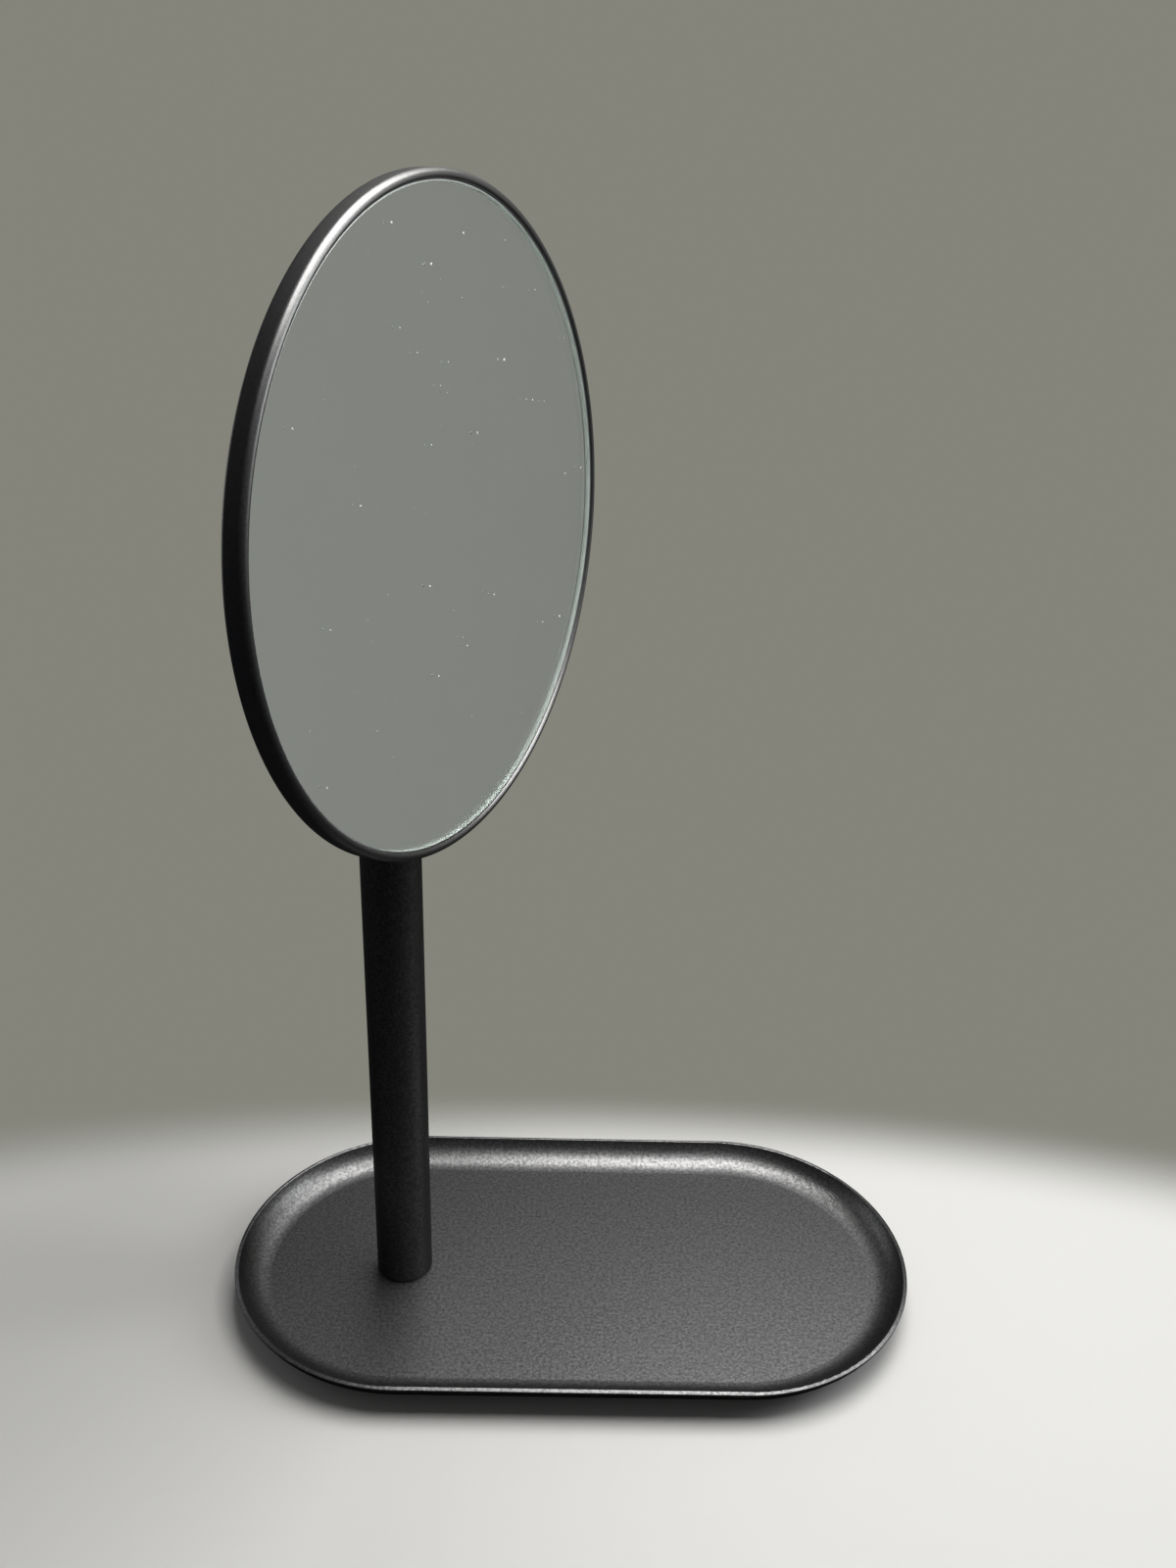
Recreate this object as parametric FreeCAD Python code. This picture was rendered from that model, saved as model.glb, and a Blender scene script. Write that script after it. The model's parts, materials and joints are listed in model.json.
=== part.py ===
"""Table mirror on a tray: a round framed mirror that tilts and turns on a post.

Units are millimetres, +Z is up and the origin is the centre of the tray's
outline on the table. The post stands near the -X end of the tray. The mirror
is built facing +X about the tilt pivot, then tilted and turned into place.
"""
import FreeCAD
import Part
import math
import os

Vec = FreeCAD.Vector

# Tray, pressed from one sheet
tray_length = 222.0
tray_width = 117.0
tray_sheet = 1.5
rim_height = 7.0  # rim above the tray's inner floor
bend_radius = 10.0  # inside radius from floor to wall
wall_angle = 65.0  # wall against the floor, in degrees
rim_round = 0.4

# Layers under the tray
pad_thickness = 1.2
weight_thickness = 2.0
tape_thickness = 0.3
pad_margin = 1.0  # from the edge of the tray's flat underside
weight_margin = 2.5
tape_margin = 6.0

# Post
post_diameter = 18.0
post_wall = 1.5
post_offset = 56.0  # from the tray's centre towards -X
post_chamfer = 0.4
gasket_thickness = 0.5
gasket_inset = 0.4
plug_length = 18.0

# Screw and pin that hold the post to the tray
base_screw_diameter = 5.0
base_screw_head = 10.0
base_screw_grip = 9.0  # thread inside the plug
base_screw_recess = 0.15
base_key = 3.0
base_key_depth = 1.6
pin_diameter = 2.5
pin_grip = 5.0

# Heights and positions of the mirror
pivot_height = 255.0
rest_tilt = 1.5  # degrees the mirror leans back from upright
rest_turn = -25.2  # degrees the mirror faces away from +X, about +Z
tilt_up = 30.0  # furthest lean back from upright

# Swivel in the top of the post
shoulder_drop = 14.0  # from the pivot down to the head's lower face
bush_flange = 1.0
bush_flange_inset = 0.3
bush_wall = 1.95
bush_length = 22.0  # below the flange
thrust_washer_thickness = 0.8
ring_clearance = 0.3  # between the loose rings and the tube's wall
swivel_spring_sheet = 0.4
swivel_spring_cone = 0.4
retaining_washer_thickness = 1.2
swivel_screw_diameter = 5.0
swivel_screw_head = 8.5
swivel_screw_head_height = 5.0
swivel_screw_grip = 10.0
swivel_key = 4.0
swivel_key_depth = 2.5
set_screw_diameter = 3.0
set_screw_drop = 8.0  # below the top of the tube
set_screw_land = 0.75  # bush left under the screw's tip
set_screw_recess = 0.3
set_screw_key = 1.5
set_screw_key_depth = 1.0

# Head and tilt pivot
cheek_thickness = 4.5
head_roof = 4.0
head_round = 2.5
head_chamfer = 0.4
window_gap = 0.3
eye_radius = 5.0
tilt_washer_thickness = 0.4
tilt_washer_diameter = 9.4
tilt_screw_diameter = 4.0
tilt_screw_head = 7.0
tilt_screw_head_height = 1.8
tilt_key = 2.5
tilt_key_depth = 1.1
tilt_spring_sheet = 0.25
tilt_spring_cone = 0.2
tilt_nut_width = 7.0  # across flats
tilt_nut_height = 2.2
flush_gap = 0.15

# Bracket between pivot and mirror
bracket_reach = 18.8  # from the pivot to the mirror's back cover
flange_diameter = 36.0
flange_thickness = 2.4
flange_chamfer = 0.5
neck_step = 0.2  # the neck is slimmer than the eye, so that they don't touch tangentially
neck_fillet = 2.0
bracket_screw_count = 3
bracket_screw_circle = 24.0
bracket_screw_diameter = 3.0
bracket_screw_head = 6.0
bracket_screw_head_height = 0.8
bracket_screw_grip = 1.8
bracket_screw_key = 1.5
bracket_screw_key_depth = 0.4

# Mirror and its frame
mirror_diameter = 170.6
bezel_width = 2.5  # radial thickness of the frame's ring
bezel_lip = 0.78  # the ring's crest stands proud of the glass
edge_round = 1.6  # at the ring's outer front edge; the inner one is rounded by the rest of the width
rear_round = 1.2
rear_lip_width = 4.2
rear_lip_thickness = 1.2
glass_thickness = 2.2
glass_seam = 0.3
foam_thickness = 1.0
foam_margin = 2.0
cover_thickness = 0.8

# Clearances
press_gap = 0.02
thread_gap = 0.03
running_gap = 0.05
face_gap = 0.05
edge_gap = 0.1
screw_gap = 0.2

# Heights of the stacked base, from the table up
weight_bottom = pad_thickness
tape_bottom = weight_bottom + weight_thickness
tray_bottom = tape_bottom + tape_thickness
floor_height = tray_bottom + tray_sheet
post_bottom = floor_height + gasket_thickness

# Radii of the post and what lies inside it
post_radius = post_diameter / 2
bore_radius = post_radius - post_wall
bush_radius = bore_radius - press_gap
spigot_radius = bush_radius - bush_wall - running_gap
ring_radius = bore_radius - ring_clearance
pin_offset = (base_screw_diameter / 2 + bore_radius) / 2
gasket_hole = pin_offset + pin_diameter / 2 + screw_gap

# Heights of the swivel, from the tilt pivot
shoulder = -shoulder_drop
flange_top = shoulder - face_gap
tube_top = flange_top - bush_flange
bush_bottom = tube_top - bush_length
thrust_top = bush_bottom - face_gap
thrust_bottom = thrust_top - thrust_washer_thickness
spigot_end = thrust_bottom - swivel_spring_sheet - swivel_spring_cone
retainer_bottom = spigot_end - retaining_washer_thickness

# Eye, window and pivot screw, along and about the tilt axis
slot_half = post_radius - cheek_thickness
eye_half = slot_half - tilt_washer_thickness - face_gap
neck_radius = eye_half - neck_step
up = math.radians(tilt_up)
neck_reach = (post_radius + neck_radius * math.sin(up)) / math.cos(up)
window_top = neck_reach * math.sin(up) + neck_radius * math.cos(up) + window_gap
window_bottom = -(eye_radius + window_gap)
head_top = window_top + head_roof
tilt_head_radius = tilt_screw_head / 2
tilt_head_face = math.sqrt(post_radius**2 - tilt_head_radius**2) - flush_gap
tilt_head_seat = tilt_head_face - tilt_screw_head_height
tilt_recess = tilt_head_seat - tilt_spring_sheet - tilt_spring_cone
nut_corner = tilt_nut_width / math.sqrt(3)
nut_face = math.sqrt(post_radius**2 - nut_corner**2) - flush_gap
nut_seat = nut_face - tilt_nut_height

# The mirror's layers, along its facing direction from the pivot
cover_back = bracket_reach
ring_back = cover_back - rear_lip_thickness
cover_front = cover_back + cover_thickness
glass_back = cover_front + foam_thickness
glass_front = glass_back + glass_thickness
ring_front = glass_front + bezel_lip
lip_round = bezel_width - edge_round
flange_back = cover_back - flange_thickness
ring_radius_out = mirror_diameter / 2
ring_radius_in = ring_radius_out - bezel_width
glass_radius = ring_radius_in - edge_gap
cover_radius = ring_radius_in - edge_gap
foam_hole = (bracket_screw_circle + bracket_screw_head) / 2 + 1.0


def point(radius, height):
    """A point of a section that is turned about +Z."""
    return Vec(radius, 0, height)


def turned(points):
    """Turn a closed section of straight sides about +Z."""
    wire = Part.makePolygon(points + [points[0]])
    return Part.Face(wire).revolve(Vec(0, 0, 0), Vec(0, 0, 1), 360)


def rod(radius, low, high, x=0.0, y=0.0):
    """An upright cylinder between two heights."""
    return Part.makeCylinder(radius, high - low, Vec(x, y, low))


def tube(outer, inner, low, high):
    """An upright tube between two heights."""
    return rod(outer, low, high).cut(rod(inner, low, high))


def hexagon(across_flats, low, high):
    """An upright hexagonal prism between two heights."""
    corner = across_flats / math.sqrt(3)
    corners = []
    for step in range(7):
        turn = math.radians(60 * step)
        corners.append(Vec(corner * math.cos(turn), corner * math.sin(turn), low))
    return Part.Face(Part.makePolygon(corners)).extrude(Vec(0, 0, high - low))


def chamfered_rod(radius, low, high, chamfer_low, chamfer_high):
    """A cylinder with its two end edges chamfered."""
    section = [point(0, low), point(radius - chamfer_low, low)]
    section.append(point(radius, low + chamfer_low))
    section.append(point(radius, high - chamfer_high))
    section.append(point(radius - chamfer_high, high))
    section.append(point(0, high))
    return turned(section)


def disc_spring(inner, outer, top, sheet, cone):
    """A coned spring washer with its inner edge uppermost."""
    low = top - sheet - cone
    section = [point(outer, low), point(outer, low + sheet)]
    section.append(point(inner, top))
    section.append(point(inner, top - sheet))
    return turned(section)


def stadium(length, width, low, high):
    """An upright plate with straight sides and round ends."""
    radius = width / 2
    reach = length / 2 - radius
    right = Part.Arc(Vec(reach, -radius, low), Vec(reach + radius, 0, low), Vec(reach, radius, low))
    left = Part.Arc(Vec(-reach, radius, low), Vec(-reach - radius, 0, low), Vec(-reach, -radius, low))
    back = Part.LineSegment(Vec(reach, radius, low), Vec(-reach, radius, low))
    front = Part.LineSegment(Vec(-reach, -radius, low), Vec(reach, -radius, low))
    edges = [right.toShape(), back.toShape(), left.toShape(), front.toShape()]
    return Part.Face(Part.Wire(edges)).extrude(Vec(0, 0, high - low))


def on_post(shape):
    """Move a shape from the origin onto the post's axis."""
    moved = shape.copy()
    moved.translate(Vec(-post_offset, 0, 0))
    return moved


def on_head(shape):
    """Place a shape that was built about the pivot, facing +X, on the turned head."""
    turn = FreeCAD.Rotation(Vec(0, 0, 1), rest_turn)
    moved = shape.copy()
    moved.Placement = FreeCAD.Placement(Vec(-post_offset, 0, pivot_height), turn).multiply(moved.Placement)
    return moved


def on_mirror(shape):
    """Place a shape that was built about the pivot, facing +X, on the tilted mirror."""
    tilt = FreeCAD.Rotation(Vec(0, -1, 0), rest_tilt)
    leaned = shape.copy()
    leaned.Placement = FreeCAD.Placement(Vec(0, 0, 0), tilt).multiply(leaned.Placement)
    return on_head(leaned)


def along_facing(shape):
    """Lay a shape that was turned about +Z along the facing direction +X."""
    laid = shape.copy()
    laid.rotate(Vec(0, 0, 0), Vec(0, 1, 0), 90)
    return laid


def along_tilt_axis(shape):
    """Lay a shape that was turned about +Z along the tilt axis +Y."""
    laid = shape.copy()
    laid.rotate(Vec(0, 0, 0), Vec(1, 0, 0), -90)
    return laid


# ---- Tray and base ----

wall = math.radians(wall_angle)
arc_rise = bend_radius * (1 - math.cos(wall))
rim_trim = rim_round * (math.sin(wall) + math.cos(wall) - 1)  # what rounding takes off the rim's corners
inner_reach = bend_radius * math.sin(wall) + (rim_height + rim_trim - arc_rise) / math.tan(wall)
outer_reach = inner_reach + tray_sheet * math.sin(wall) - rim_trim
flat_half = tray_width / 2 - outer_reach  # half width of the flat floor
end_offset = (tray_length - tray_width) / 2  # centres of the round ends


def flat_stadium(margin, low, high):
    """A plate that follows the tray's flat underside, inside it by a margin."""
    inset = outer_reach + margin
    return stadium(tray_length - 2 * inset, tray_width - 2 * inset, low, high)


def tray_half_section():
    """Half of the tray's cross section, from its centre line out to the rim, which is cut square to the wall."""
    centre = floor_height + bend_radius
    outer_bend = bend_radius + tray_sheet
    rim = floor_height + rim_height + rim_trim
    near = rim_round * (1 - math.sqrt(0.5))

    def on_bend(radius, angle):
        return point(flat_half + radius * math.sin(angle), centre - radius * math.cos(angle))

    def on_rim(down, through):
        """A point near the wall's end, from its inner corner down the wall and through the sheet."""
        reach = flat_half + inner_reach + through * math.sin(wall) - down * math.cos(wall)
        return point(reach, rim - through * math.cos(wall) - down * math.sin(wall))

    inner = Part.Arc(point(flat_half, floor_height), on_bend(bend_radius, wall / 2), on_bend(bend_radius, wall))
    outer = Part.Arc(on_bend(outer_bend, wall), on_bend(outer_bend, wall / 2), point(flat_half, tray_bottom))
    inner_rim = Part.Arc(on_rim(rim_round, 0), on_rim(near, near), on_rim(0, rim_round))
    outer_rim = Part.Arc(on_rim(0, tray_sheet - rim_round), on_rim(near, tray_sheet - near), on_rim(rim_round, tray_sheet))
    edges = [
        Part.LineSegment(point(0, floor_height), point(flat_half, floor_height)).toShape(),
        inner.toShape(),
        Part.LineSegment(on_bend(bend_radius, wall), on_rim(rim_round, 0)).toShape(),
        inner_rim.toShape(),
        Part.LineSegment(on_rim(0, rim_round), on_rim(0, tray_sheet - rim_round)).toShape(),
        outer_rim.toShape(),
        Part.LineSegment(on_rim(rim_round, tray_sheet), on_bend(outer_bend, wall)).toShape(),
        outer.toShape(),
        Part.LineSegment(point(flat_half, tray_bottom), point(0, tray_bottom)).toShape(),
        Part.LineSegment(point(0, tray_bottom), point(0, floor_height)).toShape(),
    ]
    return Part.Face(Part.Wire(edges))


def base_screw_seat(gap):
    """The space of the countersunk screw, larger by a gap all round."""
    head = base_screw_head / 2
    shank = base_screw_diameter / 2
    face = weight_bottom + base_screw_recess
    section = [point(0, weight_bottom), point(head + gap, weight_bottom), point(head + gap, face)]
    section.append(point(shank + gap, face + head - shank))
    section.append(point(shank + gap, post_bottom))
    section.append(point(0, post_bottom))
    return turned(section)


def make_tray():
    section = tray_half_section()
    end = section.copy()
    end.translate(Vec(end_offset, 0, 0))
    end = end.revolve(Vec(end_offset, 0, 0), Vec(0, 0, 1), 180)
    end.rotate(Vec(end_offset, 0, 0), Vec(0, 0, 1), -90)
    other_end = end.copy()
    other_end.rotate(Vec(0, 0, 0), Vec(0, 0, 1), 180)
    side = section.copy()
    side.rotate(Vec(0, 0, 0), Vec(0, 0, 1), 90)
    side.translate(Vec(-end_offset, 0, 0))
    side = side.extrude(Vec(2 * end_offset, 0, 0))
    other_side = side.copy()
    other_side.rotate(Vec(0, 0, 0), Vec(0, 0, 1), 180)
    shell = end.fuse([other_end, side, other_side]).removeSplitter()
    pin_hole = rod(pin_diameter / 2 + running_gap, tray_bottom, floor_height, 0, pin_offset)
    holes = base_screw_seat(screw_gap / 2).fuse(pin_hole)
    return shell.cut(on_post(holes))


def make_weight_tape():
    hole = rod(base_screw_head / 2 + screw_gap, tape_bottom, tray_bottom)
    return flat_stadium(tape_margin, tape_bottom, tray_bottom).cut(on_post(hole))


def make_weight_plate():
    plate = flat_stadium(weight_margin, weight_bottom, tape_bottom)
    return plate.cut(on_post(base_screw_seat(screw_gap / 2)))


def make_non_slip_pad():
    return flat_stadium(pad_margin, 0, pad_thickness)


def make_base_screw():
    head = base_screw_head / 2
    shank = base_screw_diameter / 2
    face = weight_bottom + base_screw_recess
    section = [point(0, face), point(head, face), point(shank, face + head - shank)]
    section.append(point(shank, post_bottom + base_screw_grip))
    section.append(point(0, post_bottom + base_screw_grip))
    return on_post(turned(section).cut(hexagon(base_key, face, face + base_key_depth)))


def make_locating_pin():
    return on_post(rod(pin_diameter / 2, tray_bottom, post_bottom + pin_grip, 0, pin_offset))


def make_post_gasket():
    return on_post(tube(post_radius - gasket_inset, gasket_hole, floor_height, post_bottom))


def make_post_plug():
    plug = rod(bore_radius - press_gap, post_bottom, post_bottom + plug_length)
    thread = rod(base_screw_diameter / 2 + thread_gap, post_bottom, post_bottom + base_screw_grip + 2)
    pin_hole = rod(pin_diameter / 2 + press_gap, post_bottom, post_bottom + pin_grip + 1, 0, pin_offset)
    return on_post(plug.cut(thread).cut(pin_hole))


def set_screw_hole(radius, inner, outer):
    """A cylinder across the post's -X side at the set screw's height."""
    height = pivot_height + tube_top - set_screw_drop
    return Part.makeCylinder(radius, outer - inner, Vec(-outer, 0, height), Vec(1, 0, 0))


def make_post_tube():
    top = pivot_height + tube_top
    post = chamfered_rod(post_radius, post_bottom, top, post_chamfer, post_chamfer)
    post = post.cut(rod(bore_radius, post_bottom, top))
    hole = set_screw_hole(set_screw_diameter / 2 + thread_gap, 0, post_radius)
    return on_post(post.cut(hole))


# ---- Swivel ----

set_screw_tip = bush_radius - bush_wall + set_screw_land


def make_swivel_bush():
    sleeve = rod(bush_radius, pivot_height + bush_bottom, pivot_height + tube_top)
    flange = rod(post_radius - bush_flange_inset, pivot_height + tube_top, pivot_height + flange_top)
    bore = rod(spigot_radius + running_gap, pivot_height + bush_bottom, pivot_height + flange_top)
    dimple = set_screw_hole(set_screw_diameter / 2 + thread_gap, set_screw_tip - thread_gap, bush_radius)
    return on_post(sleeve.fuse(flange).removeSplitter().cut(bore).cut(dimple))


def make_bush_set_screw():
    outer = post_radius - set_screw_recess
    screw = set_screw_hole(set_screw_diameter / 2, set_screw_tip, outer)
    key = hexagon(set_screw_key, outer - set_screw_key_depth, outer)
    key.rotate(Vec(0, 0, 0), Vec(0, 1, 0), -90)
    key.translate(Vec(0, 0, pivot_height + tube_top - set_screw_drop))
    return on_post(screw.cut(key))


def tilt_screw_space(gap):
    """The pivot screw's head and shank along +Z, larger by a gap."""
    head = rod(tilt_head_radius + gap, tilt_recess, post_radius)
    shank = rod(tilt_screw_diameter / 2 + running_gap, -post_radius, post_radius)
    return head.fuse(shank)


def make_swivel_head():
    body = chamfered_rod(post_radius, shoulder, head_top, head_chamfer, 0)
    top_edges = [edge for edge in body.Edges if edge.BoundBox.ZMin > head_top - 0.01]
    body = body.makeFillet(head_round, [edge for edge in top_edges if edge.Length > post_radius])
    window = Part.makeBox(
        post_radius - window_bottom,
        2 * slot_half,
        window_top - window_bottom,
        Vec(window_bottom, -slot_half, window_bottom),
    )
    spigot = rod(spigot_radius, spigot_end, shoulder)
    thread = rod(swivel_screw_diameter / 2 + thread_gap, spigot_end, spigot_end + swivel_screw_grip + 2)
    nut_pocket = hexagon(tilt_nut_width + 2 * edge_gap, -post_radius, -nut_seat)
    pivot_holes = along_tilt_axis(tilt_screw_space(screw_gap).fuse(nut_pocket))
    return on_head(body.cut(window).fuse(spigot).removeSplitter().cut(thread).cut(pivot_holes))


def make_thrust_washer():
    return on_head(tube(ring_radius, spigot_radius + edge_gap, thrust_bottom, thrust_top))


def make_swivel_disc_spring():
    inner = spigot_radius + edge_gap
    return on_head(disc_spring(inner, ring_radius, thrust_bottom, swivel_spring_sheet, swivel_spring_cone))


def make_retaining_washer():
    return on_head(tube(ring_radius, swivel_screw_diameter / 2 + screw_gap, retainer_bottom, spigot_end))


def make_swivel_screw():
    head_bottom = retainer_bottom - swivel_screw_head_height
    head = chamfered_rod(swivel_screw_head / 2, head_bottom, retainer_bottom, head_chamfer, 0)
    shank = rod(swivel_screw_diameter / 2, retainer_bottom, spigot_end + swivel_screw_grip)
    key = hexagon(swivel_key, head_bottom, head_bottom + swivel_key_depth)
    return on_head(head.fuse(shank).removeSplitter().cut(key))


# ---- Tilt pivot ----


def make_tilt_screw():
    head = chamfered_rod(tilt_head_radius, tilt_head_seat, tilt_head_face, 0, head_chamfer)
    shank = rod(tilt_screw_diameter / 2, -nut_face, tilt_head_seat)
    key = hexagon(tilt_key, tilt_head_face - tilt_key_depth, tilt_head_face)
    return on_head(along_tilt_axis(head.fuse(shank).removeSplitter().cut(key)))


def make_tilt_disc_spring():
    inner = tilt_screw_diameter / 2 + edge_gap
    spring = disc_spring(inner, tilt_head_radius, tilt_head_seat, tilt_spring_sheet, tilt_spring_cone)
    return on_head(along_tilt_axis(spring))


def make_tilt_nut():
    nut = hexagon(tilt_nut_width, -nut_face, -nut_seat)
    thread = rod(tilt_screw_diameter / 2 + thread_gap, -nut_face, -nut_seat)
    return on_head(along_tilt_axis(nut.cut(thread)))


def make_tilt_washers():
    inner = tilt_screw_diameter / 2 + edge_gap
    near = tube(tilt_washer_diameter / 2, inner, slot_half - tilt_washer_thickness, slot_half)
    far = tube(tilt_washer_diameter / 2, inner, -slot_half, tilt_washer_thickness - slot_half)
    return on_head(along_tilt_axis(Part.makeCompound([near, far])))


# ---- Mirror ----


def screw_places():
    """Where the bracket's screws stand on the flange, in the plane of the mirror."""
    places = []
    for step in range(bracket_screw_count):
        turn = 2 * math.pi * step / bracket_screw_count
        places.append((bracket_screw_circle / 2 * math.cos(turn), bracket_screw_circle / 2 * math.sin(turn)))
    return places


def make_mirror_bracket():
    flange = flange_diameter / 2
    foot = neck_radius + neck_fillet
    corner = Vec(neck_radius + neck_fillet * (1 - math.cos(math.pi / 4)), 0,
                 flange_back - neck_fillet * (1 - math.sin(math.pi / 4)))
    edges = [
        Part.LineSegment(point(0, 0), point(neck_radius, 0)).toShape(),
        Part.LineSegment(point(neck_radius, 0), point(neck_radius, flange_back - neck_fillet)).toShape(),
        Part.Arc(point(neck_radius, flange_back - neck_fillet), corner, point(foot, flange_back)).toShape(),
        Part.LineSegment(point(foot, flange_back), point(flange - flange_chamfer, flange_back)).toShape(),
        Part.LineSegment(
            point(flange - flange_chamfer, flange_back), point(flange, flange_back + flange_chamfer)
        ).toShape(),
        Part.LineSegment(point(flange, flange_back + flange_chamfer), point(flange, cover_back)).toShape(),
        Part.LineSegment(point(flange, cover_back), point(0, cover_back)).toShape(),
        Part.LineSegment(point(0, cover_back), point(0, 0)).toShape(),
    ]
    stem = Part.Face(Part.Wire(edges)).revolve(Vec(0, 0, 0), Vec(0, 0, 1), 360)
    stem = along_facing(stem)
    eye = along_tilt_axis(rod(eye_radius, -eye_half, eye_half))
    eye.rotate(Vec(0, 0, 0), Vec(0, 1, 0), 180)  # so that its seam lies away from the stem
    bore = along_tilt_axis(rod(tilt_screw_diameter / 2 + running_gap, -2 * eye_half, 2 * eye_half))
    bracket = stem.fuse(eye).removeSplitter().cut(bore)
    for across, height in screw_places():
        thread = rod(
            bracket_screw_diameter / 2 + thread_gap,
            cover_back - bracket_screw_grip - screw_gap,
            cover_back,
            across,
            height,
        )
        bracket = bracket.cut(along_facing(thread))
    return on_mirror(bracket)


def make_bracket_screws():
    screws = []
    head_top = cover_front + bracket_screw_head_height
    for across, height in screw_places():
        head = rod(bracket_screw_head / 2, cover_front, head_top, across, height)
        shank = rod(bracket_screw_diameter / 2, cover_back - bracket_screw_grip, cover_front, across, height)
        key = hexagon(bracket_screw_key, head_top - bracket_screw_key_depth, head_top)
        key.translate(Vec(across, height, 0))
        screws.append(head.fuse(shank).removeSplitter().cut(key))
    return on_mirror(along_facing(Part.makeCompound(screws)))


def make_back_cover():
    cover = rod(cover_radius, cover_back, cover_front)
    for across, height in screw_places():
        hole_radius = bracket_screw_diameter / 2 + screw_gap
        cover = cover.cut(rod(hole_radius, cover_back, cover_front, across, height))
    return on_mirror(along_facing(cover))


def make_foam_pad():
    return on_mirror(along_facing(tube(glass_radius - foam_margin, foam_hole, cover_front, glass_back)))


def make_mirror_glass():
    glass = chamfered_rod(glass_radius, glass_back, glass_front, glass_seam, glass_seam)
    return on_mirror(along_facing(glass))


def round_corner(radius, centre_radius, centre_height, outwards, forwards):
    """The middle point of a quarter round, from its centre."""
    step = radius * math.cos(math.pi / 4)
    return point(centre_radius + outwards * step, centre_height + forwards * step)


def make_frame_ring():
    out = ring_radius_out
    inner = ring_radius_in
    lip = out - rear_lip_width
    crest = point(out - edge_round, ring_front)
    edge_centre = ring_front - edge_round
    rear_centre = ring_back + rear_round
    lip_centre = ring_front - lip_round
    edge_corner = round_corner(edge_round, out - edge_round, edge_centre, 1, 1)
    rear_corner = round_corner(rear_round, out - rear_round, rear_centre, 1, -1)
    lip_corner = round_corner(lip_round, inner + lip_round, lip_centre, -1, 1)
    edges = [
        Part.Arc(crest, edge_corner, point(out, edge_centre)),
        Part.LineSegment(point(out, edge_centre), point(out, rear_centre)),
        Part.Arc(point(out, rear_centre), rear_corner, point(out - rear_round, ring_back)),
        Part.LineSegment(point(out - rear_round, ring_back), point(lip, ring_back)),
        Part.LineSegment(point(lip, ring_back), point(lip, cover_back)),
        Part.LineSegment(point(lip, cover_back), point(inner, cover_back)),
        Part.LineSegment(point(inner, cover_back), point(inner, lip_centre)),
        Part.Arc(point(inner, lip_centre), lip_corner, crest),
    ]
    section = Part.Face(Part.Wire([edge.toShape() for edge in edges]))
    ring = section.revolve(Vec(0, 0, 0), Vec(0, 0, 1), 360)
    return on_mirror(along_facing(ring))


pieces = {
    "tray": make_tray,
    "weight_tape": make_weight_tape,
    "weight_plate": make_weight_plate,
    "non_slip_pad": make_non_slip_pad,
    "base_screw": make_base_screw,
    "locating_pin": make_locating_pin,
    "post_gasket": make_post_gasket,
    "post_plug": make_post_plug,
    "post_tube": make_post_tube,
    "swivel_bush": make_swivel_bush,
    "bush_set_screw": make_bush_set_screw,
    "swivel_head": make_swivel_head,
    "thrust_washer": make_thrust_washer,
    "swivel_disc_spring": make_swivel_disc_spring,
    "retaining_washer": make_retaining_washer,
    "swivel_screw": make_swivel_screw,
    "tilt_screw": make_tilt_screw,
    "tilt_disc_spring": make_tilt_disc_spring,
    "tilt_nut": make_tilt_nut,
    "tilt_washers": make_tilt_washers,
    "mirror_bracket": make_mirror_bracket,
    "bracket_screws": make_bracket_screws,
    "back_cover": make_back_cover,
    "foam_pad": make_foam_pad,
    "mirror_glass": make_mirror_glass,
    "frame_ring": make_frame_ring,
}

os.makedirs("parts", exist_ok=True)
for name, make in pieces.items():
    shape = make()
    box = shape.BoundBox
    shape.exportStep("parts/" + name + ".step")
    print(f"{name:20s} solids {len(shape.Solids)} valid {shape.isValid()} volume {shape.Volume:9.1f} "
          f"z {box.ZMin:7.2f} to {box.ZMax:7.2f}")
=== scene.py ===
import json
import math
import random

import bmesh
import bpy
from mathutils import Matrix, Vector


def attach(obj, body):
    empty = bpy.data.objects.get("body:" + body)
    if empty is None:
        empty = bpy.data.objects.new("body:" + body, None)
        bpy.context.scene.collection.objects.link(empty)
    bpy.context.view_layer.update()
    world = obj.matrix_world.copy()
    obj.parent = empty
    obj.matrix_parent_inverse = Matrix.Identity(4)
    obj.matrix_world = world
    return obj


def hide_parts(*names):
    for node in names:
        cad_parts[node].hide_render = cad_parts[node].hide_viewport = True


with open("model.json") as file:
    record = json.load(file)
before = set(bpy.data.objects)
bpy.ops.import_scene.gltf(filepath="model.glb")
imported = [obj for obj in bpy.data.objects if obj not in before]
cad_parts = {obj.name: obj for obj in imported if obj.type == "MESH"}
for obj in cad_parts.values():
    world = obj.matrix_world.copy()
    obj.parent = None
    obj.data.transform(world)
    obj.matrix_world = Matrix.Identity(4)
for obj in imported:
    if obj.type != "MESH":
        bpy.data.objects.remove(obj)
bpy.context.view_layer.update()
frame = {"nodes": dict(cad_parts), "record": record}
nodes = frame["nodes"]
print("frame loaded:", len(nodes), "nodes")

cameraView = {
    "place": (-0.00519, -0.35285, 0.33828),
    "turn": 0.957,  # degrees from +Y towards +X
    "down": 23.835,
    "roll": 1.656,
    "lens": 31.22,
    "sensor": 36,
    "clip": (0.01, 50),
}


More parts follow.
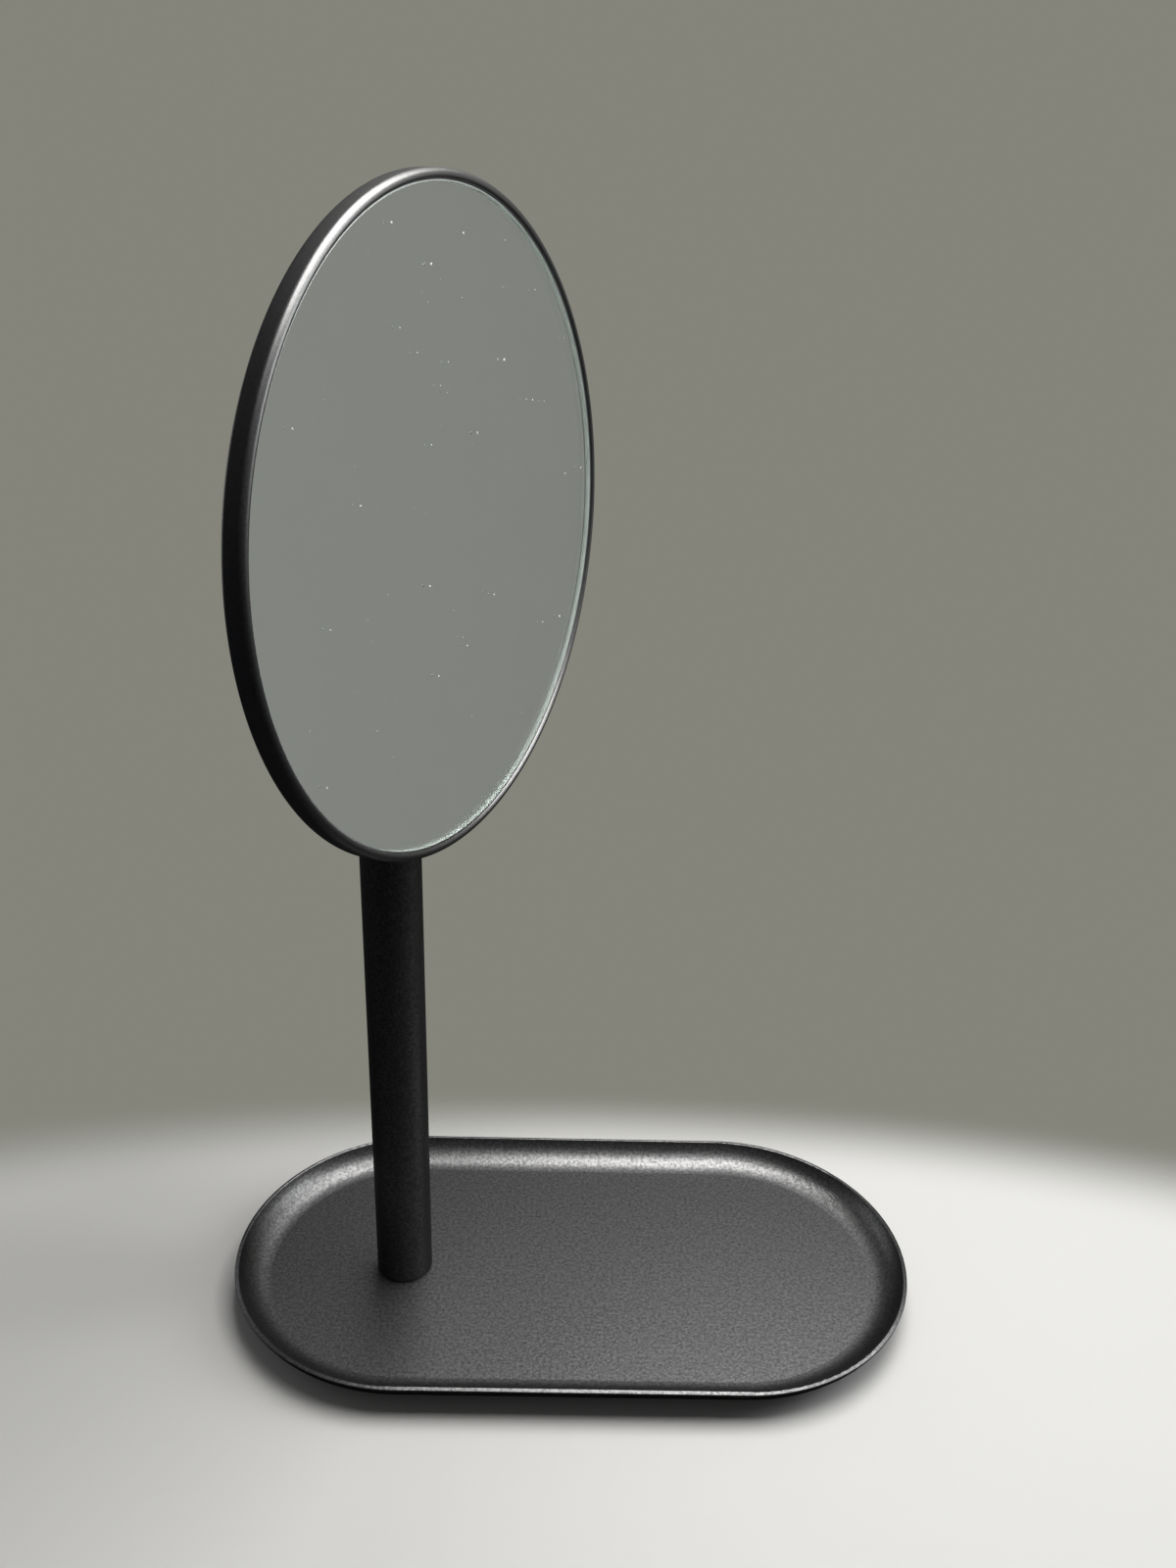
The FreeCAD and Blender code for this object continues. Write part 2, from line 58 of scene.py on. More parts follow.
def makeCamera(view):
    turn, down, roll = (math.radians(view[k]) for k in ("turn", "down", "roll"))
    ahead = Vector((math.sin(turn) * math.cos(down), math.cos(turn) * math.cos(down), -math.sin(down)))
    level = Vector((math.cos(turn), -math.sin(turn), 0))
    upright = level.cross(ahead)
    across = level * math.cos(roll) + upright * math.sin(roll)
    up = upright * math.cos(roll) - level * math.sin(roll)
    lens = bpy.data.cameras.new("camera")
    lens.sensor_width = view["sensor"]
    lens.lens = view["lens"]
    lens.clip_start, lens.clip_end = view["clip"]
    eye = bpy.data.objects.new("camera", lens)
    eye.matrix_world = Matrix((across, up, -ahead)).transposed().to_4x4()
    eye.location = view["place"]
    bpy.context.scene.collection.objects.link(eye)
    bpy.context.scene.camera = eye


studio = {
    "floorColor": (0.62, 0.62, 0.61),
    "floorReflected": (0.025, 0.025, 0.026),  # the floor as the glossy surfaces show it
    "backdropColor": (0.232, 0.232, 0.198),  # the backdrop as the camera shows it
    "mirroredColor": (0.270, 0.267, 0.255),  # the backdrop as the mirror shows it
    "risenColor": (0.12, 0.12, 0.115),  # glossy surfaces show this above the backdrop's left part
    "darkColor": (0.045, 0.047, 0.055),  # and this where the room is dark
    "ceilingColor": (0.42, 0.42, 0.43),
    "glossyStrength": 0.35,
    "glossyCeiling": 2.15,  # added to that strength for the ceiling
    # where glossy surfaces show the backdrop and the ceiling, by the parts of a unit direction
    "farFade": (0.10, 0.45),
    "sideFade": (0.35, 0.62),
    "riseFade": (0.25, 0.45),
    "ceilingFade": (0.64, 0.77),
    "ceilingSide": (-0.25, 0.05),
    "fillStrength": 0.14,
    "floorRadius": 3.0,
    "floorSegments": 96,
    "floorCentre": (0.0, -0.06),
    "floorReach": (0.30, 0.115),  # half axes of the pale pool
    "floorFade": (1.0, 1.45),
}

lamps = {
    "key": {
        "place": (0.11, 0.015, 0.60),
        "size": (0.42, 0.37),
        "watts": 4.0,
        "color": (1.0, 0.985, 0.96),
    },
    "right": {
        "place": (0.70, 0.04, 0.50),
        "size": (0.3, 0.5),
        "watts": 2.6,
        "color": (0.98, 0.99, 1.0),
    },
    "rear": {
        "place": (-0.85, 0.38, 0.28),
        "size": (0.6, 0.5),
        "watts": 0.7,
        "color": (0.97, 0.98, 1.0),
    },
}
lampAim = Vector((0, 0, 0.1))  # every lamp faces this point


def makeLamp(name, lamp):
    light = bpy.data.lights.new(name, "AREA")
    light.shape = "RECTANGLE"
    light.size, light.size_y = lamp["size"]
    light.energy = lamp["watts"]
    light.color = lamp["color"]
    holder = bpy.data.objects.new(name, light)
    holder.location = lamp["place"]
    holder.rotation_euler = (lampAim - holder.location).to_track_quat("-Z", "Y").to_euler()
    bpy.context.scene.collection.objects.link(holder)


def addNode(tree, kind, values=None, **settings):
    node = tree.nodes.new(kind)
    for key, value in settings.items():
        setattr(node, key, value)
    for key, value in (values or {}).items():
        node.inputs[key].default_value = value
    return node


def addMath(tree, operation, first, second=None):
    node = addNode(tree, "ShaderNodeMath", operation=operation)
    for slot, value in ((0, first), (1, second)):
        if value is None:
            continue
        if isinstance(value, (int, float)):
            node.inputs[slot].default_value = value
        else:
            tree.links.new(value, node.inputs[slot])
    return node.outputs[0]


def addFade(tree, source, ends, curve="SMOOTHSTEP"):
    values = {"From Min": ends[0], "From Max": ends[1]}
    node = addNode(tree, "ShaderNodeMapRange", values, interpolation_type=curve)
    tree.links.new(source, node.inputs["Value"])
    return node.outputs[0]


def addTone(tree, factor, dark, light):
    # mixes two colours, each a plain one or another node's output
    node = addNode(tree, "ShaderNodeMix", data_type="RGBA")
    for slot, value in ((0, factor), (6, dark), (7, light)):
        if isinstance(value, tuple):
            node.inputs[slot].default_value = (*value, 1)
        else:
            tree.links.new(value, node.inputs[slot])
    return node.outputs[2]


def addShaderMix(tree, factor, first, second):
    node = addNode(tree, "ShaderNodeMixShader")
    for slot, value in enumerate((factor, first, second)):
        tree.links.new(value, node.inputs[slot])
    return node.outputs[0]


def makeWorld(look):
    world = bpy.data.worlds.new("studio")
    bpy.context.scene.world = world
    world.use_nodes = True
    tree = world.node_tree
    tree.nodes.clear()
    out = addNode(tree, "ShaderNodeOutputWorld")
    place = addNode(tree, "ShaderNodeTexCoord")
    split = addNode(tree, "ShaderNodeSeparateXYZ")
    tree.links.new(place.outputs["Generated"], split.inputs[0])
    side = addFade(tree, split.outputs["X"], look["sideFade"])
    rise = addFade(tree, split.outputs["Z"], look["riseFade"])
    far = addFade(tree, split.outputs["Y"], look["farFade"])
    above = addFade(tree, split.outputs["Z"], look["ceilingFade"])
    beside = addFade(tree, split.outputs["X"], look["ceilingSide"])
    panel = addTone(tree, side, look["risenColor"], look["backdropColor"])
    lit = addMath(tree, "MULTIPLY", far, addMath(tree, "MAXIMUM", side, rise))
    tone = addTone(tree, lit, look["darkColor"], panel)
    ceiling = addMath(tree, "MULTIPLY", above, beside)
    room = addNode(tree, "ShaderNodeBackground")
    tree.links.new(addTone(tree, ceiling, tone, look["ceilingColor"]), room.inputs["Color"])
    brighter = addMath(tree, "MULTIPLY", ceiling, look["glossyCeiling"])
    tree.links.new(addMath(tree, "ADD", brighter, look["glossyStrength"]), room.inputs["Strength"])
    fill = addNode(tree, "ShaderNodeBackground", {"Strength": look["fillStrength"]})
    behind = addNode(tree, "ShaderNodeBackground", {"Color": (*look["backdropColor"], 1)})
    opposite = addNode(tree, "ShaderNodeBackground", {"Color": (*look["mirroredColor"], 1)})
    path = addNode(tree, "ShaderNodeLightPath")
    shown = addShaderMix(tree, path.outputs["Is Glossy Ray"], fill.outputs[0], room.outputs[0])
    # the mirror shows a plain backdrop too, by way of its glass
    shown = addShaderMix(tree, path.outputs["Is Transmission Ray"], shown, opposite.outputs[0])
    shown = addShaderMix(tree, path.outputs["Is Camera Ray"], shown, behind.outputs[0])
    tree.links.new(shown, out.inputs[0])


def makeFloor(look):
    mesh = bpy.data.meshes.new("studioFloor")
    form = bmesh.new()
    segments, radius = look["floorSegments"], look["floorRadius"]
    bmesh.ops.create_circle(form, cap_ends=True, segments=segments, radius=radius)
    form.to_mesh(mesh)
    form.free()
    floor = bpy.data.objects.new("studioFloor", mesh)
    bpy.context.scene.collection.objects.link(floor)
    paper = bpy.data.materials.new("floorPaper")
    paper.use_nodes = True
    tree = paper.node_tree
    tree.nodes.clear()
    out = addNode(tree, "ShaderNodeOutputMaterial")
    matte = addNode(tree, "ShaderNodeBsdfDiffuse")
    path = addNode(tree, "ShaderNodeLightPath")
    tone = addTone(tree, path.outputs["Is Glossy Ray"], look["floorColor"], look["floorReflected"])
    tree.links.new(tone, matte.inputs["Color"])
    clear = addNode(tree, "ShaderNodeBsdfTransparent")
    place = addNode(tree, "ShaderNodeTexCoord")
    pool = {"Location": (*look["floorCentre"], 0), "Scale": (*look["floorReach"], 1)}
    spread = addNode(tree, "ShaderNodeMapping", pool, vector_type="TEXTURE")
    tree.links.new(place.outputs["Object"], spread.inputs["Vector"])
    length = addNode(tree, "ShaderNodeVectorMath", operation="LENGTH")
    tree.links.new(spread.outputs[0], length.inputs[0])
    gone = addFade(tree, length.outputs["Value"], look["floorFade"], "SMOOTHERSTEP")
    tree.links.new(addShaderMix(tree, gone, matte.outputs[0], clear.outputs[0]), out.inputs[0])
    mesh.materials.append(paper)


makeCamera(cameraView)
makeWorld(studio)
makeFloor(studio)
for lampName, lamp in lamps.items():
    makeLamp(lampName, lamp)
bpy.context.scene.view_settings.view_transform = "Standard"
print("camera, floor and light are set")


def newGroup(name, inputs, outputs):
    group = bpy.data.node_groups.new(name, "ShaderNodeTree")
    for socket, value in inputs.items():
        made = group.interface.new_socket(socket, in_out="INPUT", socket_type="NodeSocketFloat")
        made.default_value = value
    for socket in outputs:
        group.interface.new_socket(socket, in_out="OUTPUT", socket_type="NodeSocketFloat")
    start = group.nodes.new("NodeGroupInput")
    end = group.nodes.new("NodeGroupOutput")
    return group, start, end


def addNoise(group, place, scale, detail, roughness=0.5):
    node = addNode(group, "ShaderNodeTexNoise", {"Detail": detail, "Roughness": roughness})
    feedTexture(group, node, place, scale)
    return node.outputs[0]


def addCells(group, place, scale):
    node = addNode(group, "ShaderNodeTexVoronoi")
    feedTexture(group, node, place, scale)
    return node.outputs["Distance"]


def feedTexture(group, node, place, scale):
    group.links.new(place, node.inputs["Vector"])
    if isinstance(scale, float):
        node.inputs["Scale"].default_value = scale
    else:
        group.links.new(scale, node.inputs["Scale"])


coatGrain = {
    "grains": 2500.0,  # per metre
    "coarseShare": 0.5,
    "fine": (2.0, 0.6),  # detail and roughness of a noise
    "coarse": (1.0, 0.5),
    "coarseSize": 0.4,  # against the fine grains per metre
    "fleckSize": 0.55,
    "fleckFade": (0.32, 0.12),
    "mottle": (35.0, 3.0),  # patches per metre and detail
}


def makeGrainGroup(look):
    # fine pebbled texture of a baked powder coat: height, and a mask of the brightest grains
    inputs = {"Grains per metre": look["grains"], "Coarse share": look["coarseShare"]}
    group, start, end = newGroup("coatGrain", inputs, ("Height", "Mottle", "Fleck"))
    place = addNode(group, "ShaderNodeTexCoord").outputs["Object"]
    grains, share = start.outputs["Grains per metre"], start.outputs["Coarse share"]
    fine = addNoise(group, place, grains, *look["fine"])
    fewer = addMath(group, "MULTIPLY", grains, look["coarseSize"])
    coarse = addNoise(group, place, fewer, *look["coarse"])
    high = addMath(group, "MULTIPLY", coarse, share)
    low = addMath(group, "MULTIPLY", fine, addMath(group, "SUBTRACT", 1.0, share))
    group.links.new(addMath(group, "ADD", high, low), end.inputs["Height"])
    group.links.new(addNoise(group, place, *look["mottle"]), end.inputs["Mottle"])
    speck = addCells(group, place, addMath(group, "MULTIPLY", grains, look["fleckSize"]))
    group.links.new(addFade(group, speck, look["fleckFade"], "LINEAR"), end.inputs["Fleck"])
    return group


metalWear = {
    "patches": 90.0,  # per metre
    "lines": 2600.0,
    "cloud": (4.0, 0.6),  # detail and roughness of a noise
    "drawn": (3.0, 0.7),
    "drawnStretch": (0.04, 1.0, 1.0),
    "scratch": (1.0, 0.5),
    "scratchTurn": (0.0, 0.3, 0.9),
    "scratchStretch": (0.03, 1.0, 1.0),
    "scratchFade": (0.68, 0.74),  # only the highest of the noise is a scratch
}


def makeWearGroup(look):
    # cloudy patches and the fine drawn lines of rolled or turned metal
    inputs = {"Patches per metre": look["patches"], "Lines per metre": look["lines"]}
    group, start, end = newGroup("metalWear", inputs, ("Cloud", "Lines", "Scratch"))
    place = addNode(group, "ShaderNodeTexCoord").outputs["Object"]
    drawn = addNode(group, "ShaderNodeMapping", {"Scale": look["drawnStretch"]})
    slanted = {"Rotation": look["scratchTurn"], "Scale": look["scratchStretch"]}
    crossed = addNode(group, "ShaderNodeMapping", slanted)
    for turned in (drawn, crossed):
        group.links.new(place, turned.inputs["Vector"])
    lines = start.outputs["Lines per metre"]
    scratches = addNoise(group, crossed.outputs[0], lines, *look["scratch"])
    cloud = addNoise(group, place, start.outputs["Patches per metre"], *look["cloud"])
    group.links.new(cloud, end.inputs["Cloud"])
    group.links.new(addNoise(group, drawn.outputs[0], lines, *look["drawn"]), end.inputs["Lines"])
    group.links.new(addFade(group, scratches, look["scratchFade"], "LINEAR"), end.inputs["Scratch"])
    return group


cellPores = {
    "cells": 1500.0,  # per metre
    "smallSize": 2.3,  # against the large cells per metre
    "smallDepth": 1.2,
    "tint": (120.0, 3.0),  # patches per metre and detail
}


def makePoreGroup(look):
    # round cells of foam, or the dimples of a moulded skin, at two sizes
    group, start, end = newGroup("cellPores", {"Cells per metre": look["cells"]}, ("Pore", "Tint"))
    place = addNode(group, "ShaderNodeTexCoord").outputs["Object"]
    cells = start.outputs["Cells per metre"]
    large = addCells(group, place, cells)
    small = addCells(group, place, addMath(group, "MULTIPLY", cells, look["smallSize"]))
    both = addMath(group, "MINIMUM", large, addMath(group, "MULTIPLY", small, look["smallDepth"]))
    group.links.new(both, end.inputs["Pore"])
    group.links.new(addNoise(group, place, *look["tint"]), end.inputs["Tint"])
    return group


grainGroup = makeGrainGroup(coatGrain)
wearGroup = makeWearGroup(metalWear)
poreGroup = makePoreGroup(cellPores)
print("shader groups are made")


def addGroup(tree, group, values=None):
    node = tree.nodes.new("ShaderNodeGroup")
    node.node_tree = group
    for key, value in (values or {}).items():
        node.inputs[key].default_value = value
    return node


def newMaterial(name, **values):
    material = bpy.data.materials.new(name)
    material.use_nodes = True
    tree = material.node_tree
    shader = tree.nodes["Principled BSDF"]
    for key, value in values.items():
        shader.inputs[key].default_value = value
    return material, tree, shader


def addBump(tree, height, distance, shader, sockets=("Normal",)):
    bump = addNode(tree, "ShaderNodeBump", {"Strength": 1.0, "Distance": distance})
    tree.links.new(height, bump.inputs["Height"])
    for socket in sockets:
        tree.links.new(bump.outputs[0], shader.inputs[socket])


coat = {
    "dark": (0.0012, 0.0014, 0.0018),
    "light": (0.0028, 0.0030, 0.0036),
    "fleck": (0.06, 0.06, 0.06),
    "fleckShare": 0.5,  # most of the fleck's colour in a bright grain
    "roughness": (0.46, 0.58),
    "skin": (0.35, 1.0),  # least and most of the glossy skin over the grains
    "skinGrains": (0.40, 0.60),
    "skinGrazing": (0.30, 0.60),  # fades the skin where the surface is seen from the side
    "skinLost": 0.8,
    "skinUnseen": 0.9,  # skin lost where coated pieces reflect each other
    "skinRoughness": 0.36,
    "skinIor": 2.3,
    "depth": 0.00008,
    "ior": 1.5,
    "grains": 2500.0,  # per metre
}
# the ring's coat is finer and smoother than the tray's and the post's
ringCoat = {
    **coat,
    "skin": (0.55, 0.75),
    "skinLost": 0.3,
    "skinRoughness": 0.31,
    "depth": 0.000014,
    "grains": 4200.0,
}


def addRange(tree, source, ends, start=(0.0, 1.0)):
    values = {"From Min": start[0], "From Max": start[1], "To Min": ends[0], "To Max": ends[1]}
    node = addNode(tree, "ShaderNodeMapRange", values)
    tree.links.new(source, node.inputs["Value"])
    return node.outputs[0]


def makeCoatMaterial(name, look):
    material, tree, shader = newMaterial(name)
    shader.inputs["IOR"].default_value = look["ior"]
    shader.inputs["Coat Roughness"].default_value = look["skinRoughness"]
    shader.inputs["Coat IOR"].default_value = look["skinIor"]
    grain = addGroup(tree, grainGroup, {"Grains per metre": look["grains"]})
    tone = addTone(tree, grain.outputs["Mottle"], look["dark"], look["light"])
    share = addMath(tree, "MULTIPLY", grain.outputs["Fleck"], look["fleckShare"])
    tree.links.new(addTone(tree, share, tone, look["fleck"]), shader.inputs["Base Color"])
    tree.links.new(addRange(tree, grain.outputs["Height"], look["roughness"]), shader.inputs["Roughness"])
    skin = addRange(tree, grain.outputs["Height"], look["skin"], look["skinGrains"])
    facing = addNode(tree, "ShaderNodeLayerWeight", {"Blend": 0.5}).outputs["Facing"]
    grazing = addMath(tree, "MULTIPLY", addFade(tree, facing, look["skinGrazing"]), -look["skinLost"])
    path = addNode(tree, "ShaderNodeLightPath").outputs
    bounced = addMath(tree, "GREATER_THAN", path["Is Glossy Ray"], path["Is Transmission Ray"])
    once = addMath(tree, "SUBTRACT", 1.0, addMath(tree, "MULTIPLY", bounced, look["skinUnseen"]))
    kept = addMath(tree, "MULTIPLY", addMath(tree, "ADD", grazing, 1.0), once)
    tree.links.new(addMath(tree, "MULTIPLY", skin, kept), shader.inputs["Coat Weight"])
    addBump(tree, grain.outputs["Height"], look["depth"], shader, ("Normal", "Coat Normal"))
    return material


steels = {
    "zincSteel": {
        "dark": (0.50, 0.51, 0.52),
        "light": (0.70, 0.70, 0.67),
        "roughness": (0.22, 0.46),
        "scratched": 0.10,
        "depth": 0.000006,
    },
    "blackSteel": {
        "dark": (0.032, 0.032, 0.037),
        "light": (0.075, 0.074, 0.078),
        "roughness": (0.26, 0.46),
        "scratched": 0.16,
        "depth": 0.000004,
    },
}


def makeSteel(name, look):
    material, tree, shader = newMaterial(name, Metallic=1.0)
    wear = addGroup(tree, wearGroup)
    tone = addTone(tree, wear.outputs["Cloud"], look["dark"], look["light"])
    tree.links.new(tone, shader.inputs["Base Color"])
    rough = addRange(tree, wear.outputs["Cloud"], look["roughness"])
    scuffed = addMath(tree, "MULTIPLY", wear.outputs["Scratch"], look["scratched"])
    tree.links.new(addMath(tree, "ADD", rough, scuffed), shader.inputs["Roughness"])
    height = addMath(tree, "SUBTRACT", wear.outputs["Lines"], scuffed)
    addBump(tree, height, look["depth"], shader)
    return material


paintedPitShadeAndTint = 0.7  # how far the pores and the tint together lighten a moulded piece; the pits left darker are painted shade, the tint is random tone

moulded = {
    "nylon": {
        "cells": 2600.0,
        "dark": (0.022, 0.022, 0.023),
        "light": (0.038, 0.038, 0.038),
        "roughness": (0.42, 0.60),
        "depth": 0.000012,
    },
    "foam": {
        "cells": 1300.0,
        "dark": (0.010, 0.010, 0.011),
        "light": (0.050, 0.050, 0.053),
        "roughness": (0.86, 0.98),
        "depth": 0.00022,
    },
}


def makeMoulded(name, look):
    material, tree, shader = newMaterial(name)
    pores = addGroup(tree, poreGroup, {"Cells per metre": look["cells"]})
    # painted shade: the base colour is darker in the pits of the cells, with a random tint over it
    both = addMath(tree, "ADD", pores.outputs["Pore"], pores.outputs["Tint"])
    shade = addMath(tree, "MULTIPLY", both, paintedPitShadeAndTint)
    tree.links.new(addTone(tree, shade, look["dark"], look["light"]), shader.inputs["Base Color"])
    tree.links.new(addRange(tree, pores.outputs["Tint"], look["roughness"]), shader.inputs["Roughness"])
    addBump(tree, pores.outputs["Pore"], look["depth"], shader)
    return material


fibreShade = 0.5  # the same for the tape's patches and fibres

tapeLook = {
    "dark": (0.66, 0.62, 0.50),
    "light": (0.80, 0.78, 0.72),
    "roughness": (0.42, 0.68),
    "patches": 140.0,
    "fibres": 900.0,
    "depth": 0.00002,
}


def makeTape(look):
    # paper carrier soaked with adhesive
    material, tree, shader = newMaterial("tape")
    paper = {"Patches per metre": look["patches"], "Lines per metre": look["fibres"]}
    fibres = addGroup(tree, wearGroup, paper)
    both = addMath(tree, "ADD", fibres.outputs["Cloud"], fibres.outputs["Lines"])
    shade = addMath(tree, "MULTIPLY", both, fibreShade)
    tree.links.new(addTone(tree, shade, look["dark"], look["light"]), shader.inputs["Base Color"])
    tree.links.new(addRange(tree, fibres.outputs["Cloud"], look["roughness"]), shader.inputs["Roughness"])
    addBump(tree, fibres.outputs["Lines"], look["depth"], shader)
    return material


powderCoat = makeCoatMaterial("powderCoat", coat)
fineCoat = makeCoatMaterial("fineCoat", ringCoat)
steelMaterials = {name: makeSteel(name, look) for name, look in steels.items()}
mouldedMaterials = {name: makeMoulded(name, look) for name, look in moulded.items()}
slots = {
    "black_powder_coat": powderCoat,
    "zinc_steel": steelMaterials["zincSteel"],
    "blackened_steel": steelMaterials["blackSteel"],
    "black_nylon": mouldedMaterials["nylon"],
    "black_foam": mouldedMaterials["foam"],
    "adhesive_tape": makeTape(tapeLook),
}
slotOf = {part["node"]: part["material_slot"] for part in frame["record"]["subparts"]}
for name, node in nodes.items():
    if slotOf[name] in slots:
        node.data.materials.clear()
        node.data.materials.append(slots[slotOf[name]])
print("materials are set")


pane = {
    "pivot": (-0.056, 0, 0.255),
    "turn": -25.2,
    "lean": 1.5,
    "front": 0.0228,  # glass front, along its facing direction from the pivot
    "back": 0.02062,
    "radius": 0.0827,
    "seam": 0.0003,
    "segments": 256,
    "silverWithin": 0.000001,  # faces this close to the back are silvered
    "ior": 1.52,
    "smears": (0.0, 0.012),  # roughness where the glass is clean and where it was wiped
    "smearPatches": 18.0,  # per metre, as the film's and the edge's
    "smearLines": 400.0,
    "filmPatches": 25.0,
    "silverDark": (0.90, 0.92, 0.91),
    "silverLight": (0.94, 0.96, 0.95),
    "tint": (0.93, 0.97, 0.95),
    "edgeDark": (0.78, 0.84, 0.82),
    "edgeLight": (0.86, 0.90, 0.88),
    "edgePatches": 700.0,
    "edgeRough": (0.35, 0.60),
    "edgeDepth": 0.000004,
}


def mirrorMatrix(look):
    # local +Z faces out of the mirror
    turn = Matrix.Rotation(math.radians(look["turn"]), 4, "Z")
    lean = Matrix.Rotation(-math.radians(look["lean"]), 4, "Y")
    return Matrix.Translation(look["pivot"]) @ turn @ lean @ Matrix.Rotation(math.radians(90), 4, "Y")


sharpAngle = 32  # degrees; flatter edges of turned pieces are smoothed


def lathe(name, section, segments, matrix, closed=False):
    # section is a list of (radius, height); a closed one is a loop, an open one ends on the axis
    form = bmesh.new()
    rings = []
    for radius, height in section:
        if radius == 0:
            rings.append([form.verts.new((0, 0, height))])
            continue
        turns = [2 * math.pi * k / segments for k in range(segments)]
        corners = [(radius * math.cos(t), radius * math.sin(t), height) for t in turns]
        rings.append([form.verts.new(corner) for corner in corners])
    following = rings[1:] + rings[:1] if closed else rings[1:]
    for first, second in zip(rings, following):
        for k in range(segments):
            n = (k + 1) % segments
            if len(first) == 1:
                form.faces.new((first[0], second[n], second[k]))
            elif len(second) == 1:
                form.faces.new((first[k], first[n], second[0]))
            else:
                form.faces.new((first[k], first[n], second[n], second[k]))
    form.transform(matrix)
    bmesh.ops.recalc_face_normals(form, faces=form.faces)
    mesh = bpy.data.meshes.new(name)
    form.to_mesh(mesh)
    form.free()
    mesh.shade_smooth()
    mesh.set_sharp_from_angle(angle=math.radians(sharpAngle))
    piece = bpy.data.objects.new(name, mesh)
    bpy.context.scene.collection.objects.link(piece)
    return piece


def arc(centre, radius, start, end, steps):
    # points of a round corner, angles in degrees from the section's radius axis
    turns = [math.radians(start + (end - start) * k / steps) for k in range(steps + 1)]
    return [(centre[0] + radius * math.cos(t), centre[1] + radius * math.sin(t)) for t in turns]


def makePane(look):
    radius, seam = look["radius"], look["seam"]
    section = [
        (0, look["back"]),
        (radius - seam, look["back"]),
        (radius, look["back"] + seam),
        (radius, look["front"] - seam),
        (radius - seam, look["front"]),
        (0, look["front"]),
    ]
    piece = lathe("mirrorPane", section, look["segments"], mirrorMatrix(look))
    glass, tree, shader = newMaterial("floatGlass", Roughness=0.0)
    shader.inputs["Transmission Weight"].default_value = 1.0
    shader.inputs["IOR"].default_value = look["ior"]
    shader.inputs["Base Color"].default_value = (*look["tint"], 1)
    wiped = {"Patches per metre": look["smearPatches"], "Lines per metre": look["smearLines"]}
    smears = addGroup(tree, wearGroup, wiped)
    tree.links.new(addRange(tree, smears.outputs["Cloud"], look["smears"]), shader.inputs["Roughness"])
    silver, tree, shader = newMaterial("silvering", Roughness=0.0, Metallic=1.0)
    film = addGroup(tree, wearGroup, {"Patches per metre": look["filmPatches"]})
    silvered = addTone(tree, film.outputs["Cloud"], look["silverDark"], look["silverLight"])
    tree.links.new(silvered, shader.inputs["Base Color"])
    edge, tree, shader = newMaterial("groundEdge")
    ground = addGroup(tree, wearGroup, {"Patches per metre": look["edgePatches"]})
    frosted = addTone(tree, ground.outputs["Cloud"], look["edgeDark"], look["edgeLight"])
    tree.links.new(frosted, shader.inputs["Base Color"])
    tree.links.new(addRange(tree, ground.outputs["Lines"], look["edgeRough"]), shader.inputs["Roughness"])
    addBump(tree, ground.outputs["Lines"], look["edgeDepth"], shader)
    for material in (glass, silver, edge):
        piece.data.materials.append(material)
    toLocal = mirrorMatrix(look).inverted()
    for face in piece.data.polygons:
        local = toLocal @ face.center
        outward = math.hypot(local.x, local.y)
        if local.z < look["back"] + look["silverWithin"]:
            face.material_index = 1
        elif outward > radius - seam:
            face.material_index = 2
    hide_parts("mirror_glass")
    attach(piece, "mirror")


ring = {
    "outer": 0.0853,
    "inner": 0.0828,
    "crest": 0.02358,  # front of the ring along the facing direction
    "frontRound": 0.0016,
    "lipRound": 0.0009,
    "back": 0.0176,
    "rearRound": 0.0012,
    "rearLip": (0.0811, 0.0188),  # inner radius and front of the lip that holds the cover
    "roundSteps": 10,
    "segments": 384,
}


